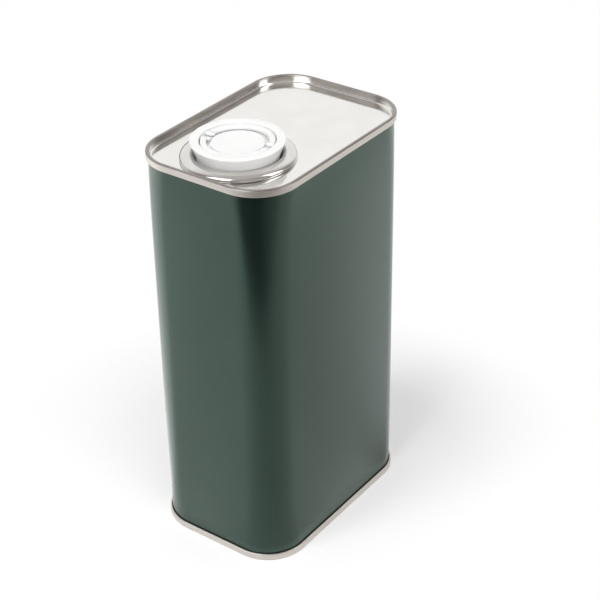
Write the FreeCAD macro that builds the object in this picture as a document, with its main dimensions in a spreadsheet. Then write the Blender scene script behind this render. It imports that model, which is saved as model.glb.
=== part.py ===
import FreeCAD, Part
import Sketcher
import math
import os
import re

# One-litre tinplate oil can with a nested pull-up spout under a screw cap.
# Frame: +Z up, origin at the centre of the foot, X along the long side of the can.

# Driving dimensions in millimetres, cap_clock in degrees, turns and starts as counts.
dimensions = {
    # Can body and its double seams
    "body_length": 98.0,
    "body_width": 66.6,
    "body_corner": 17.4,
    "tin_height": 178.5,
    "sheet": 0.25,
    "seam_gap": 0.06,
    "seam_height": 3.2,
    "seam_bend_share": 0.78,
    "hook_bend_share": 0.9,
    "hook_end_gap": 0.25,
    "compound_space": 0.36,
    "compound_gap": 0.03,
    "compound_width": 0.4,
    "side_lap_width": 3.0,
    "side_lap_inset": 3.0,
    # Lid and base panels
    "lid_depth": 3.2,
    "base_depth": 4.6,
    "chuck_bend": 1.1,
    "panel_land": 1.2,
    "base_bead_inset": 5.0,
    "base_bead_rise": 1.0,
    "base_bead_bend": 0.35,
    # Neck, flange and crimp ring
    "ring_rim_gap": 2.39,
    "ring_cap_gap": 0.8,
    "ring_width": 6.0,
    "ring_inner_bend": 2.3,
    "ring_shoulder_bend": 1.3,
    "ring_slope_share": 0.55,
    "ring_skirt": 0.25,
    "ring_sheet": 0.3,
    "ring_gap": 0.08,
    "ring_leg": 0.2,
    "ring_floor_gap": 0.1,
    "ring_hem_bend": 0.4,
    "ring_hem": 1.4,
    "flange_wall": 1.0,
    "flange_gap": 0.12,
    "flange_skirt_gap": 0.15,
    "sleeve_depth": 2.0,
    "curl_radius": 0.75,
    "curl_floor_gap": 0.2,
    "neck_bend": 0.6,
    "neck_land": 0.8,
    # Bellows and spout
    "spout_travel": 21.0,
    "spout_bore_radius": 12.9,
    "spout_wall": 1.3,
    "spout_mouth_height": 3.0,
    "spout_mouth_round": 0.4,
    "spout_foot_width": 0.65,
    "spout_foot_height": 1.2,
    "bellows_wall": 0.5,
    "bellows_gap": 0.05,
    # Screw thread between spout and cap
    "thread_pitch": 3.0,
    "thread_starts": 2,
    "thread_depth": 0.8,
    "thread_root": 1.1,
    "thread_crest": 0.7,
    "thread_clearance": 0.25,
    "thread_sink": 0.3,
    "thread_drop": 5.1,
    "spout_thread_turns": 0.6,
    "cap_thread_turns": 0.35,
    # Cap and liner
    "cap_wall": 1.1,
    "cap_foot_drop": 2.6,
    "cap_plate": 1.2,
    "cap_lip_flare": 2.45,
    "cap_lip_edge": 0.15,
    "cap_lip_round": 0.3,
    "cap_waist_height": 1.4,
    "cap_disc_drop": 0.4,
    "groove_inner": 11.8,
    "groove_width": 3.4,
    "groove_depth": 2.55,
    "liner_thickness": 0.95,
    "liner_gap": 0.05,
    "liner_side_gap": 0.3,
    "cap_clock": 12.0,
    # Bail handles and their pivots
    "bail_side_gap": 0.5,
    "bail_thickness": 1.8,
    "bail_floor_gap": 0.3,
    "bail_pivot_offset": 2.2,
    "pin_radius": 0.55,
    "pin_clearance": 0.05,
    "pin_engagement": 0.5,
    "pin_end_gap": 0.15,
}

# Places that follow from the driving dimensions, as expressions in their names.
chuck_inset = "(1.5 * sheet + seam_gap)"
seam_bend = "(seam_bend_share * 2 * (sheet + seam_gap))"
hook_bend = "(hook_bend_share * (sheet + seam_gap))"
end_hook_offset = "(seam_gap + 0.5 * sheet)"
body_hook_offset = "(2 * seam_gap + 1.5 * sheet)"
seam_wall_offset = "(3 * seam_gap + 2.5 * sheet)"
lid_top = "(tin_height - lid_depth)"
body_fold = "(1.5 * sheet + compound_space)"
body_hook_end = "(seam_height - sheet - hook_end_gap)"
end_hook_end = f"({body_fold} + sheet / 2 + hook_end_gap)"
spout_foot_depth = "(sleeve_depth + spout_travel / 2)"
thread_foot = "(spout_mouth_height - thread_drop)"
spout_outer = "(spout_bore_radius + spout_wall)"
spout_foot_radius = f"({spout_outer} + spout_foot_width)"
cap_inner = f"({spout_outer} + thread_depth + thread_clearance)"
cap_outer = f"({cap_inner} + cap_wall)"
cap_lip_radius = f"({cap_outer} + cap_lip_flare)"
ring_start = f"({cap_outer} + ring_cap_gap)"
ring_reach = f"({ring_start} + ring_width)"
slope_rise = "sqrt(1 - ring_slope_share^2)"
ring_top_width = "(ring_width - ring_inner_bend - ring_shoulder_bend * (1 - ring_slope_share))"
ring_dome = f"({ring_top_width} / ring_slope_share)"
shoulder_foot = "(ring_floor_gap + ring_hem_bend + ring_skirt)"
ring_height = f"({shoulder_foot} + ring_shoulder_bend * {slope_rise} + {ring_dome} * (1 - {slope_rise}))"
flange_start = f"({ring_start} + ring_sheet + ring_gap)"
flange_bend = "(curl_radius + flange_gap)"
bead_radius = f"({flange_start} + flange_wall + {flange_bend})"
bead_height = "(curl_floor_gap + curl_radius)"
closure_inset = f"({chuck_inset} + sheet / 2 + ring_rim_gap + {ring_reach})"
closure_place = f"({closure_inset} - body_length / 2)"
liner_foot = "(spout_mouth_height + liner_gap)"
cap_underside = f"({liner_foot} + liner_thickness + liner_gap)"
groove_floor = f"({cap_underside} + cap_plate)"
cap_top = f"({groove_floor} + groove_depth)"
disc_top = f"({cap_top} - cap_disc_drop)"
pivot_height = f"({groove_floor} + bail_floor_gap + bail_thickness / 2)"
groove_outer = "(groove_inner + groove_width)"
bail_inner = "(groove_inner + bail_side_gap)"
bail_outer = f"({groove_outer} - bail_side_gap)"


def pivot_reach(radius):
    # How far along its pivot line a circle round the cap's axis reaches.
    return f"sqrt({radius}^2 - bail_pivot_offset^2)"


pin_start = f"({pivot_reach('groove_inner')} - pin_engagement)"
pin_end = f"({pivot_reach(groove_outer)} + pin_engagement)"

doc = FreeCAD.newDocument("olive_oil_tin")
cells = doc.addObject("Spreadsheet::Sheet", "dim")
for row, (alias, size) in enumerate(dimensions.items(), start=1):
    cells.set(f"A{row}", alias)
    cells.set(f"B{row}", str(size))
    cells.setAlias(f"B{row}", alias)
doc.recompute()


def bound(text):
    # Points every name in an expression at its cell.
    return re.sub(r"[a-z_]+", lambda word: word[0] if word[0] == "sqrt" else "dim." + word[0], text)


def number(text):
    return float(cells.evalExpression(bound(text)))


def origin_plane(body, role):
    return next(feature for feature in body.Origin.OriginFeatures if feature.Role == role)


def new_body(label, closure=False):
    # Closure pieces are drawn round their own axis, with zero height on the lid panel.
    body = doc.addObject("PartDesign::Body", label)
    body.Label = label
    if closure:
        body.Placement = FreeCAD.Placement(FreeCAD.Vector(), FreeCAD.Rotation(FreeCAD.Vector(0, 0, 1), 1))
        body.setExpression("Placement.Base.x", bound(closure_place))
        body.setExpression("Placement.Base.z", bound(lid_top))
        body.setExpression("Placement.Rotation.Angle", bound("cap_clock"))
    return body


def heading(start, end):
    # Unit step along an axis from one corner to the next.
    step = FreeCAD.Vector(number(end[0]) - number(start[0]), number(end[1]) - number(start[1]), 0)
    step.normalize()
    return round(step.x), round(step.y)


def rounded(corners):
    # Turns corners (x, y, radius) of an outline along the axes into points with quarter arcs.
    points = []
    for index, corner in enumerate(corners):
        x, y, radius = corner
        if radius is None:
            points.append(corner)
            continue
        arrive = heading(corners[index - 1], corner)
        leave = heading(corner, corners[(index + 1) % len(corners)])
        turn = arrive[0] * leave[1] - arrive[1] * leave[0]
        points.append((f"{x} - {arrive[0]} * {radius}", f"{y} - {arrive[1]} * {radius}", None))
        points.append((f"{x} + {leave[0]} * {radius}", f"{y} + {leave[1]} * {radius}", (radius, turn)))
    return points


def strip(corners):
    # Outline of a bent sheet whose middle line runs along the axes through the corners.
    # Each side of the sheet lies half its thickness to the left or right of the middle line.
    steps = [heading(start, end) for start, end in zip(corners, corners[1:])]
    sides = {1: [], -1: []}
    for (x, y, radius), arrive, leave in zip(corners, steps[:1] + steps, steps + steps[-1:]):
        turn = arrive[0] * leave[1] - arrive[1] * leave[0]
        shift = (-arrive[1], arrive[0])
        if turn:
            shift = (shift[0] - leave[1], shift[1] + leave[0])
        for side, points in sides.items():
            bend = radius and f"({radius} - {side * turn} * sheet / 2)"
            place = [f"{at} + {side * step} * sheet / 2" for at, step in zip((x, y), shift)]
            points.append((*place, bend))
    return rounded(sides[1] + sides[-1][::-1])


def arc_through(start, end, radius, turn):
    # Circular edge of at most half a turn, counter-clockwise where turn is positive.
    middle = (start + end) / 2
    chord = end - start
    rise = math.sqrt(max(radius ** 2 - (chord.Length / 2) ** 2, 0))
    centre = middle + FreeCAD.Vector(-chord.y, chord.x, 0).normalize() * rise * turn
    first, last = (start, end) if turn > 0 else (end, start)
    angles = [math.atan2(point.y - centre.y, point.x - centre.x) for point in (first, last)]
    return Part.ArcOfCircle(Part.Circle(centre, FreeCAD.Vector(0, 0, 1), radius), *angles)


def lock_point(sketch, edge, end, x, y):
    for kind, axis, text in (("DistanceX", -2, x), ("DistanceY", -1, y)):
        if text == "0":
            sketch.addConstraint(Sketcher.Constraint("PointOnObject", edge, end, axis))
            continue
        index = sketch.addConstraint(Sketcher.Constraint(kind, -1, 1, edge, end, number(text)))
        sketch.setExpression(f"Constraints[{index}]", bound(text))


def draw_outline(sketch, points):
    # Each point is (x, y, bend); bend is None for a straight way to it, or (radius, turn).
    places = [FreeCAD.Vector(number(x), number(y), 0) for x, y, bend in points]
    edges = []
    for index, (x, y, bend) in enumerate(points):
        start, end = places[index - 1], places[index]
        if bend:
            edge = sketch.addGeometry(arc_through(start, end, number(bend[0]), bend[1]))
            radius = sketch.addConstraint(Sketcher.Constraint("Radius", edge, number(bend[0])))
            sketch.setExpression(f"Constraints[{radius}]", bound(bend[0]))
            ends = (1, 2) if bend[1] > 0 else (2, 1)
        else:
            edge = sketch.addGeometry(Part.LineSegment(start, end))
            ends = (1, 2)
        edges.append((edge, *ends))
    for (edge, first, last), following in zip(edges, edges[1:] + edges[:1]):
        sketch.addConstraint(Sketcher.Constraint("Coincident", edge, last, following[0], following[1]))
    for (edge, first, last), (x, y, bend) in zip(edges, points):
        lock_point(sketch, edge, last, x, y)


def draw_circle(sketch, x, y, radius):
    place = FreeCAD.Vector(number(x), number(y), 0)
    edge = sketch.addGeometry(Part.Circle(place, FreeCAD.Vector(0, 0, 1), number(radius)))
    index = sketch.addConstraint(Sketcher.Constraint("Radius", edge, number(radius)))
    sketch.setExpression(f"Constraints[{index}]", bound(radius))
    lock_point(sketch, edge, 3, x, y)


def new_sketch(body, name, role, points=(), offset=None):
    sketch = body.newObject("Sketcher::SketchObject", name)
    sketch.AttachmentSupport = [(origin_plane(body, role), "")]
    sketch.MapMode = "FlatFace"
    if offset:
        sketch.setExpression("AttachmentOffset.Base.z", bound(offset))
    if points:
        draw_outline(sketch, points)
    return sketch


def feature(body, kind, name, sketch, **sizes):
    made = body.newObject(f"PartDesign::{kind}", name)
    made.Profile = sketch
    for prop, text in sizes.items():
        made.setExpression(prop, bound(text))
    return made


def revolve(body, name, points):
    sketch = new_sketch(body, name + "_outline", "XZ_Plane", points)
    turned = body.newObject("PartDesign::Revolution", name)
    turned.Profile = sketch
    turned.ReferenceAxis = (sketch, ["V_Axis"])
    turned.Angle = 360
    return turned


def rectangle(left, right, low, high):
    return [(left, low, None), (right, low, None), (right, high, None), (left, high, None)]


def rounded_rectangle(inset):
    # Plan of the can at a distance inside the body wall, starting halfway along the front.
    x = f"(body_length / 2 - {inset})"
    y = f"(body_width / 2 - {inset})"
    bend = f"(body_corner - {inset})"
    corners = [("0", f"-{y}", None)]
    corners += [(x, f"-{y}", bend), (x, y, bend), (f"-{x}", y, bend), (f"-{x}", f"-{y}", bend)]
    return rounded(corners)


def sweep_round(body, name, section):
    # Carries a section, drawn on the front side at x = 0, once round the can.
    path = new_sketch(body, name + "_path", "XY_Plane", rounded_rectangle("0"))
    outline = new_sketch(body, name + "_section", "YZ_Plane", section)
    pipe = body.newObject("PartDesign::AdditivePipe", name)
    pipe.Profile = outline
    pipe.Spine = path
    return pipe


def front(offset):
    # Place on the front side, measured outward from the face of the body wall.
    return f"(-body_width / 2 - {offset})"


def body_wall():
    body = new_body("body_wall")
    wall = front("-sheet / 2")
    hook = front(body_hook_offset)
    high = f"(tin_height - {body_fold})"
    section = strip([
        (hook, f"tin_height - {body_hook_end}", None),
        (hook, high, hook_bend),
        (wall, high, hook_bend),
        (wall, body_fold, hook_bend),
        (hook, body_fold, hook_bend),
        (hook, body_hook_end, None),
    ])
    sweep_round(body, "folded_wall", section)
    # Lapped edge of the sheet inside the back narrow side, between the two ends
    lap = new_sketch(body, "side_lap_outline", "XY_Plane", rectangle(
        "body_length / 2 - 2 * sheet", "body_length / 2 - sheet / 2",
        "-side_lap_width / 2", "side_lap_width / 2"), offset="base_depth + side_lap_inset")
    feature(body, "Pad", "side_lap", lap,
            Length="tin_height - lid_depth - base_depth - 2 * side_lap_inset")
    return body


def lid():
    body = new_body("lid")
    chuck = front(f"-{chuck_inset}")
    panel = f"({lid_top} - sheet / 2)"
    top = "(tin_height - sheet / 2)"
    foot = "(tin_height - seam_height + sheet / 2)"
    section = strip([
        (f"{chuck} + chuck_bend + panel_land", panel, None),
        (chuck, panel, "chuck_bend"),
        (chuck, top, seam_bend),
        (front(seam_wall_offset), top, seam_bend),
        (front(seam_wall_offset), foot, hook_bend),
        (front(end_hook_offset), foot, hook_bend),
        (front(end_hook_offset), f"tin_height - {end_hook_end}", None),
    ])
    sweep_round(body, "seamed_rim", section)
    plate = new_sketch(body, "panel_outline", "XY_Plane",
                       rounded_rectangle(f"({chuck_inset} + chuck_bend + panel_land / 2)"),
                       offset=f"{lid_top} - sheet")
    # Neck wall that rises from the panel and curls outward round the bead circle
    wall = f"({bead_radius} - curl_radius)"
    inner = "(curl_radius - sheet)"
    bend_centre = f"({wall} + sheet / 2 + neck_bend)"
    draw_circle(plate, closure_place, "0", f"{bend_centre} + neck_land / 2")
    feature(body, "Pad", "panel", plate, Length="sheet")
    rise = "(neck_bend - sheet / 2)"
    edge = f"({bend_centre} + neck_land)"
    neck = [
        (edge, "-sheet", None),
        (edge, "0", None),
        (bend_centre, "0", None),
        (f"{wall} + sheet", rise, (rise, -1)),
        (f"{wall} + sheet", bead_height, None),
        (bead_radius, f"{bead_height} + {inner}", (inner, -1)),
        (f"{bead_radius} + {inner}", bead_height, (inner, -1)),
        (bead_radius, f"{bead_height} - {inner}", (inner, -1)),
        (bead_radius, "curl_floor_gap", None),
        (f"{bead_radius} + curl_radius", bead_height, ("curl_radius", 1)),
        (bead_radius, f"{bead_height} + curl_radius", ("curl_radius", 1)),
        (wall, bead_height, ("curl_radius", 1)),
        (wall, rise, None),
        (bend_centre, "-sheet", (f"({rise} + sheet)", 1)),
    ]
    shifted = [(f"{x} + {closure_place}", f"{z} + {lid_top}", bend) for x, z, bend in neck]
    outline = new_sketch(body, "neck_outline", "XZ_Plane", shifted)
    ends = [FreeCAD.Vector(number(closure_place), number(z), 0) for z in ("0", "tin_height")]
    axis = outline.addGeometry(Part.LineSegment(*ends), True)
    lock_point(outline, axis, 1, closure_place, "0")
    lock_point(outline, axis, 2, closure_place, "tin_height")
    turned = body.newObject("PartDesign::Revolution", "neck")
    turned.Profile = outline
    turned.ReferenceAxis = (outline, ["Axis0"])
    turned.Angle = 360
    return body


def base():
    body = new_body("base")
    chuck = front(f"-{chuck_inset}")
    panel = "(base_depth + sheet / 2)"
    high = "(seam_height - sheet / 2)"
    bead = f"({chuck} + chuck_bend + base_bead_inset)"
    section = strip([
        (f"{bead} + base_bead_bend + panel_land", f"{panel} + base_bead_rise", None),
        (bead, f"{panel} + base_bead_rise", "base_bead_bend"),
        (bead, panel, "base_bead_bend"),
        (chuck, panel, "chuck_bend"),
        (chuck, "sheet / 2", seam_bend),
        (front(seam_wall_offset), "sheet / 2", seam_bend),
        (front(seam_wall_offset), high, hook_bend),
        (front(end_hook_offset), high, hook_bend),
        (front(end_hook_offset), end_hook_end, None),
    ])
    sweep_round(body, "seamed_rim", section)
    inset = f"({chuck_inset} + chuck_bend + base_bead_inset + base_bead_bend + panel_land / 2)"
    plate = new_sketch(body, "panel_outline", "XY_Plane", rounded_rectangle(inset),
                       offset="base_depth + base_bead_rise")
    feature(body, "Pad", "panel", plate, Length="sheet")
    return body


def seam_compound(label, low):
    # Sealing compound between the folded sheet of an end and the flange of the body.
    body = new_body(label)
    middle = f"(({seam_wall_offset} - {chuck_inset}) / 2)"
    section = rectangle(front(f"{middle} - compound_width / 2"), front(f"{middle} + compound_width / 2"),
                        f"{low} + compound_gap", f"{low} + compound_space - compound_gap")
    sweep_round(body, "compound", section)
    return body


def dome(inset):
    # Way over the ring's top from its inner leg to its skirt, at a depth under its surface.
    crown = f"({ring_start} + ring_inner_bend)"
    bend = f"({ring_dome} - {inset})"
    return [
        (f"{ring_start} + {inset}", f"{ring_height} - ring_inner_bend", None),
        (crown, f"{ring_height} - {inset}", (f"(ring_inner_bend - {inset})", -1)),
        (f"{crown} + {bend} * ring_slope_share",
         f"{ring_height} - {ring_dome} + {bend} * {slope_rise}", (bend, -1)),
        (f"{ring_reach} - {inset}", shoulder_foot, (f"(ring_shoulder_bend - {inset})", -1)),
    ]


def backward(points):
    # The same way from its end to its start, with each bend at the point that it now leads to.
    bends = [None] + [(radius, -turn) for x, z, (radius, turn) in points[:0:-1]]
    return [(x, z, bend) for (x, z, forward), bend in zip(points[::-1], bends)]


def crimp_ring():
    body = new_body("crimp_ring", closure=True)
    hem = "(ring_hem_bend - ring_sheet)"
    turn_height = "(ring_floor_gap + ring_hem_bend)"
    leg_end = f"({ring_height} - ring_inner_bend - ring_leg)"
    tuck = f"({ring_reach} - ring_hem)"
    revolve(body, "ring", [
        (ring_start, leg_end, None),
        *dome("0"),
        (ring_reach, turn_height, None),
        (f"{ring_reach} - ring_hem_bend", "ring_floor_gap", ("ring_hem_bend", -1)),
        (tuck, "ring_floor_gap", None),
        (tuck, "ring_floor_gap + ring_sheet", None),
        (f"{ring_reach} - ring_hem_bend", "ring_floor_gap + ring_sheet", None),
        (f"{ring_reach} - ring_sheet", turn_height, (hem, 1)),
        *backward(dome("ring_sheet")),
        (f"{ring_start} + ring_sheet", leg_end, None),
    ])
    return body


def spout_flange():
    # Plastic rim that fills the ring round the neck's curl, with a sleeve down through the neck.
    body = new_body("spout_flange", closure=True)
    skirt = "(ring_floor_gap + ring_sheet + flange_skirt_gap)"
    revolve(body, "flange", [
        (flange_start, "-sleeve_depth", None),
        *dome("(ring_sheet + ring_gap)"),
        (f"{ring_reach} - ring_sheet - ring_gap", skirt, None),
        (f"{bead_radius} + {flange_bend}", skirt, None),
        (f"{bead_radius} + {flange_bend}", bead_height, None),
        (bead_radius, f"{bead_height} + {flange_bend}", (flange_bend, 1)),
        (f"{bead_radius} - {flange_bend}", bead_height, (flange_bend, 1)),
        (f"{bead_radius} - {flange_bend}", "-sleeve_depth", None),
    ])
    return body


def spout_bellows():
    # Flexible cone that hangs from the flange sleeve and turns inside out as the spout rises.
    body = new_body("spout_bellows", closure=True)
    high = f"({ring_start} - bellows_gap)"
    low = f"({spout_foot_radius} + bellows_gap)"
    revolve(body, "cone", [
        (high, "-sleeve_depth", None),
        (low, f"-{spout_foot_depth}", None),
        (f"{low} + bellows_wall", f"-{spout_foot_depth}", None),
        (f"{high} + bellows_wall", "-sleeve_depth", None),
    ])
    return body


def add_thread(body, wall, side, foot, turns):
    # Ridges on a cylinder wall, outward where side is 1 and inward where it is -1.
    root = f"({wall} - {side} * thread_sink)"
    crest = f"({wall} + {side} * thread_depth)"
    ridge = new_sketch(body, "thread_ridge", "XZ_Plane", [
        (root, f"{foot} - thread_root / 2", None),
        (crest, f"{foot} - thread_crest / 2", None),
        (crest, f"{foot} + thread_crest / 2", None),
        (root, f"{foot} + thread_root / 2", None),
    ])
    helix = body.newObject("PartDesign::AdditiveHelix", "thread_helix")
    helix.Profile = ridge
    helix.ReferenceAxis = (ridge, ["V_Axis"])
    helix.Mode = "pitch-turns-angle"
    helix.setExpression("Pitch", bound("thread_pitch * thread_starts"))
    helix.setExpression("Turns", bound(turns))
    pattern = body.newObject("PartDesign::PolarPattern", "thread_starts")
    pattern.Originals = [helix]
    pattern.Axis = (ridge, ["V_Axis"])
    pattern.Angle = 360
    pattern.setExpression("Occurrences", bound("thread_starts"))
    body.Tip = pattern


def pour_spout():
    body = new_body("pour_spout", closure=True)
    foot = f"(-{spout_foot_depth})"
    revolve(body, "nozzle", [
        ("spout_bore_radius", foot, None),
        (spout_foot_radius, foot, None),
        (spout_foot_radius, f"{foot} + spout_foot_height", None),
        (spout_outer, f"{foot} + spout_foot_height + spout_foot_width", None),
        (spout_outer, "spout_mouth_height - spout_mouth_round", None),
        (f"{spout_outer} - spout_mouth_round", "spout_mouth_height", ("spout_mouth_round", 1)),
        ("spout_bore_radius + spout_mouth_round", "spout_mouth_height", None),
        ("spout_bore_radius", "spout_mouth_height - spout_mouth_round", ("spout_mouth_round", 1)),
    ])
    add_thread(body, spout_outer, 1, thread_foot, "spout_thread_turns")
    return body


def screw_cap():
    body = new_body("screw_cap", closure=True)
    hollow_radius = "(groove_inner - cap_plate)"
    hollow_top = f"({disc_top} - cap_plate)"
    revolve(body, "cap_shell", [
        (cap_inner, "-cap_foot_drop", None),
        (cap_outer, "-cap_foot_drop", None),
        (cap_outer, "cap_waist_height", None),
        (cap_lip_radius, f"{cap_top} - cap_lip_round - cap_lip_edge", None),
        (cap_lip_radius, f"{cap_top} - cap_lip_round", None),
        (f"{cap_lip_radius} - cap_lip_round", cap_top, ("cap_lip_round", 1)),
        (groove_outer, cap_top, None),
        (groove_outer, groove_floor, None),
        ("groove_inner", groove_floor, None),
        ("groove_inner", f"{disc_top} - cap_lip_round", None),
        ("groove_inner - cap_lip_round", disc_top, ("cap_lip_round", 1)),
        ("0", disc_top, None),
        ("0", hollow_top, None),
        (hollow_radius, hollow_top, None),
        (hollow_radius, cap_underside, None),
        (cap_inner, cap_underside, None),
    ])
    # Pivot sockets of both bails, across the groove on one side and mirrored to the other
    start = f"({pin_start} - pin_end_gap)"
    sockets = new_sketch(body, "socket_outline", "XZ_Plane", offset=f"-{start}")
    for side in ("bail_pivot_offset", "-bail_pivot_offset"):
        draw_circle(sockets, side, pivot_height, "pin_radius + pin_clearance")
    cut = feature(body, "Pocket", "sockets", sockets, Length=f"{pin_end} + pin_end_gap - {start}")
    mirror = body.newObject("PartDesign::Mirrored", "far_sockets")
    mirror.Originals = [cut]
    mirror.MirrorPlane = (origin_plane(body, "XZ_Plane"), [""])
    body.Tip = mirror
    add_thread(body, cap_inner, -1, f"{thread_foot} + thread_pitch / 2", "cap_thread_turns")
    return body


def cap_liner():
    body = new_body("cap_liner", closure=True)
    radius = f"({cap_inner} - liner_side_gap)"
    revolve(body, "disc", rectangle("0", radius, liner_foot, f"{liner_foot} + liner_thickness"))
    return body


def bail(label, side):
    # Half ring in the cap's groove with an eye and a pivot pin at each end.
    body = new_body(label, closure=True)
    cut = f"({side} * bail_pivot_offset)"
    outer_end = pivot_reach(bail_outer)
    inner_end = pivot_reach(bail_inner)
    half = new_sketch(body, "half_ring_outline", "XY_Plane", [
        (cut, outer_end, None),
        (f"{side} * {bail_outer}", "0", (bail_outer, -side)),
        (cut, f"-{outer_end}", (bail_outer, -side)),
        (cut, f"-{inner_end}", None),
        (f"{side} * {bail_inner}", "0", (bail_inner, side)),
        (cut, inner_end, (bail_inner, side)),
    ], offset=f"{pivot_height} - bail_thickness / 2")
    feature(body, "Pad", "half_ring", half, Length="bail_thickness")
    ends = []
    for name, radius, start, end in (("eye", "bail_thickness / 2", inner_end, outer_end),
                                     ("pin", "pin_radius", pin_start, pin_end)):
        round_end = new_sketch(body, name + "_outline", "XZ_Plane", offset=f"-{end}")
        draw_circle(round_end, cut, pivot_height, radius)
        ends.append(feature(body, "Pad", name, round_end, Length=f"{end} - {start}"))
    mirror = body.newObject("PartDesign::Mirrored", "far_end")
    mirror.Originals = ends
    mirror.MirrorPlane = (origin_plane(body, "XZ_Plane"), [""])
    body.Tip = mirror
    return body


pieces = [
    body_wall(),
    lid(),
    base(),
    seam_compound("lid_seam_compound", "tin_height - sheet - compound_space"),
    seam_compound("base_seam_compound", "sheet"),
    crimp_ring(),
    spout_flange(),
    spout_bellows(),
    pour_spout(),
    cap_liner(),
    screw_cap(),
    bail("bail_left", -1),
    bail("bail_right", 1),
]
doc.recompute()

for made in doc.Objects:
    if "Invalid" in made.State or "Error" in made.State:
        raise RuntimeError(f"{made.Label} failed: {made.State}")
for piece in pieces:
    if piece.Shape.isNull() or not piece.Shape.isValid():
        raise RuntimeError(f"{piece.Label} has no valid shape")

os.makedirs("parts", exist_ok=True)
for piece in pieces:
    piece.Shape.exportStep(f"parts/{piece.Label}.step")
    box = piece.Shape.BoundBox
    print(f"{piece.Label}: {len(piece.Shape.Solids)} solid, {piece.Shape.Volume:.1f} mm3,",
          f"z {box.ZMin:.2f} to {box.ZMax:.2f}")
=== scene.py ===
import bpy
import numpy as np
from mathutils import Matrix


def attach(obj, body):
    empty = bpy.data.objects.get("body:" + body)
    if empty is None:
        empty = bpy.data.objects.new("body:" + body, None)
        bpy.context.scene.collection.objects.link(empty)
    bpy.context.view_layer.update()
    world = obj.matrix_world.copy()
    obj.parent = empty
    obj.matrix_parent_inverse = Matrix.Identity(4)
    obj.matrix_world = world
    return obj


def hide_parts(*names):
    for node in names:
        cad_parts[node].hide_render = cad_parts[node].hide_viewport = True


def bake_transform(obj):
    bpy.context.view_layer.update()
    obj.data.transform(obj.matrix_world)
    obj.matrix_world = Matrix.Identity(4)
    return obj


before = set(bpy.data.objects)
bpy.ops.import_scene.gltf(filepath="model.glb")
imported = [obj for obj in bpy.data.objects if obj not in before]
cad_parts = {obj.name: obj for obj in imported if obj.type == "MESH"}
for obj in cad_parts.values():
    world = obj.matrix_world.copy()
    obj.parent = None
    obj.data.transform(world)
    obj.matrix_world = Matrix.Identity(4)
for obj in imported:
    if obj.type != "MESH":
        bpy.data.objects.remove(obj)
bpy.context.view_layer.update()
mm = 0.001
white = (1, 1, 1)
creaseAngle = 40  # degrees between faces, past which an edge is shaded sharp

# Sizes that several pieces share, in millimetres
tin = {
    "length": 98.0, "width": 66.6, "corner": 17.4, "height": 178.5,
    "sheet": 0.25, "seamHeight": 3.2,
    "cornerSteps": 22, "longSteps": 26, "shortSteps": 18,
}
closure = {
    "x": -22.9, "panel": 175.3, "clock": 12.0, "steps": 192,
    "bead": 19.4, "beadHeight": 0.95,
}
straightHalf = np.array([tin["length"], tin["width"]]) / 2 - tin["corner"]


# Shapes

# Left hand side of headings in the plane
def leftOf(heading):
    return np.stack([-heading[..., 1], heading[..., 0]], axis=-1)


# A line through corners whose bends are arcs: straight runs up to each arc's tangent points,
# then the heading turns evenly while the point goes round the bend's centre.
def bentLine(corners, bends, steps=9):
    corners = np.array(corners, float)
    runs = np.diff(corners, axis=0)
    runs /= np.linalg.norm(runs, axis=1)[:, None]
    points, headings = [corners[:1]], [runs[:1]]
    for corner, bend, arrive, leave in zip(corners[1:-1], bends, runs, runs[1:]):
        turn = np.arctan2(arrive[0] * leave[1] - arrive[1] * leave[0], arrive @ leave)
        angle = np.linspace(0, turn, steps)
        heading = np.stack([arrive[0] * np.cos(angle) - arrive[1] * np.sin(angle),
                            arrive[0] * np.sin(angle) + arrive[1] * np.cos(angle)], axis=1)
        start = corner - arrive * bend * np.tan(abs(turn) / 2)
        centre = start + np.sign(turn) * bend * leftOf(arrive)
        points.append(centre - np.sign(turn) * bend * leftOf(heading))
        headings.append(heading)
    points.append(corners[-1:])
    headings.append(runs[-1:])
    return np.vstack(points), np.vstack(headings)


# A closed outline with every corner rounded by its own radius, zero keeps it sharp
def roundedLoop(corners, radii, steps=6):
    corners = np.array(corners, float)
    loop = []
    previous, following = np.roll(corners, 1, 0), np.roll(corners, -1, 0)
    for before, corner, after, radius in zip(previous, corners, following, radii):
        if not radius:
            loop.append(corner[None])
            continue
        points = bentLine([before, corner, after], [radius], steps)[0]
        loop.append(points[1:-1])
    return np.vstack(loop)


# A share from 0 to 1 that starts and ends gently
def eased(share):
    return share * share * (3 - 2 * share)


# Both faces of a sheet: its middle line moved half the thickness to the left and to the right
def sheetFaces(points, headings, thickness):
    side = leftOf(headings) * thickness / 2
    return points + side, points - side


# Points and headings along an arc, from one angle to another in degrees
def arcRun(centre, radius, start, end, steps):
    angle = np.radians(np.linspace(start, end, steps))
    around = np.stack([np.cos(angle), np.sin(angle)], axis=1)
    return np.array(centre) + radius * around, leftOf(around) * np.sign(end - start)


# The tin's plan as corner centres and outward normals, column by column round the four sides:
# a point at offset u from the body face is centre + (corner radius + u) * normal.
def tinPlan():
    centres, angles = [], []
    for quarter, (signs, onward, sideSteps) in enumerate((
            ((1, 1), (-2, 0), tin["longSteps"]), ((-1, 1), (0, -2), tin["shortSteps"]),
            ((-1, -1), (2, 0), tin["longSteps"]), ((1, -1), (0, 2), tin["shortSteps"]))):
        here, along = straightHalf * signs, straightHalf * onward
        share = np.linspace(0, 1, sideSteps + 1)[1:-1, None]
        turn = np.linspace(quarter * np.pi / 2, (quarter + 1) * np.pi / 2, tin["cornerSteps"] + 1)
        centres += [np.repeat(here[None], len(turn), 0), here + along * share]
        angles += [turn, np.full(len(share), turn[-1])]
    angles = np.concatenate(angles)
    return np.vstack(centres), np.stack([np.cos(angles), np.sin(angles)], axis=1)


planCentres, planNormals = tinPlan()


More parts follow.
